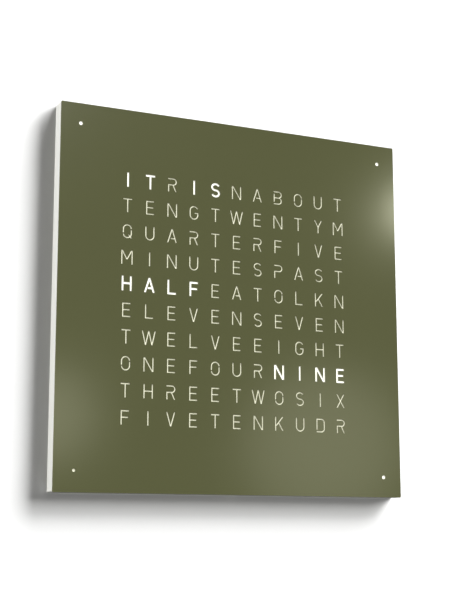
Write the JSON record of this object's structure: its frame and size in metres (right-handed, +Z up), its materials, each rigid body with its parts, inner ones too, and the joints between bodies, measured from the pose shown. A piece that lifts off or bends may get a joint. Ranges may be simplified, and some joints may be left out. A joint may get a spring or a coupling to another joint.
{
  "type": "word clock",
  "caption": "Square wall clock that tells the time in lit words through a stencil-cut steel front cover, with a lift-off cover and setting buttons in its side.",
  "frame": {"origin": "centre of the case's rear face, which lies on the wall", "axes": "+Z up, +X to the right as seen from the front, and the front faces -Y, so +Y points into the wall"},
  "size_m": [0.45, 0.02, 0.45],
  "materials": {
    "olive_powder_coat": "satin powder coat",
    "white_lacquer": "satin lacquer on fibreboard",
    "panel_paint": "matt paint",
    "zinc_steel": "zinc plated",
    "brass": "turned",
    "magnet_nickel": "nickel plated",
    "white_abs": "moulded",
    "opal_acrylic": "opal",
    "board_white": "solder mask",
    "board_green": "solder mask",
    "led_resin": "cast resin",
    "black_plastic": "moulded",
    "lead_jacket": "extruded",
    "button_grey": "moulded"
  },
  "bodies": {
    "case": {"body_frame": "white_lacquer", "rear_panel": "panel_paint", "panel_screws": "zinc_steel", "cover_magnets": "magnet_nickel", "pin_bushes": "brass", "light_grid": "white_abs", "diffuser_sheet": "opal_acrylic", "led_board": "board_white", "cell_leds": "led_resin", "grid_screws": "zinc_steel", "corner_discs": "opal_acrylic", "corner_boards": "board_white", "corner_leds": "led_resin", "corner_sockets": "black_plastic", "led_sockets": "black_plastic", "corner_leads": "lead_jacket", "controller_board": "board_green", "board_screws": "zinc_steel", "microcontroller": "black_plastic", "led_drivers": "black_plastic", "crystal_can": "zinc_steel", "supply_capacitor": "zinc_steel", "choke": "black_plastic", "cell_holder": "black_plastic", "coin_cell": "magnet_nickel", "ribbon_cable": "lead_jacket", "ribbon_sockets": "black_plastic", "power_inlet": "black_plastic", "inlet_pin": "brass", "switch_bodies": "black_plastic", "button_board": "board_green", "button_lead": "lead_jacket", "button_sockets": "black_plastic"},
    "cover": {"front_cover": "olive_powder_coat", "cover_pins": "zinc_steel"},
    "hour": {"hour_button": "button_grey", "hour_switch_stem": "black_plastic"},
    "minute": {"minute_button": "button_grey", "minute_switch_stem": "black_plastic"},
    "mode": {"mode_button": "button_grey", "mode_switch_stem": "black_plastic"}
  },
  "joints": [
    {"name": "cover_pull", "type": "slide", "parent": "case", "child": "cover", "axis": [0, -1, 0], "range_m": [0, 0.06]},
    {"name": "hour_press", "type": "slide", "parent": "case", "child": "hour", "axis": [-1, 0, 0], "range_m": [0, 0.0006], "stiffness_N_per_m": 1200, "springref_m": -0.0004},
    {"name": "minute_press", "type": "slide", "parent": "case", "child": "minute", "axis": [-1, 0, 0], "range_m": [0, 0.0006], "stiffness_N_per_m": 1200, "springref_m": -0.0004},
    {"name": "mode_press", "type": "slide", "parent": "case", "child": "mode", "axis": [-1, 0, 0], "range_m": [0, 0.0006], "stiffness_N_per_m": 1200, "springref_m": -0.0004}
  ]
}
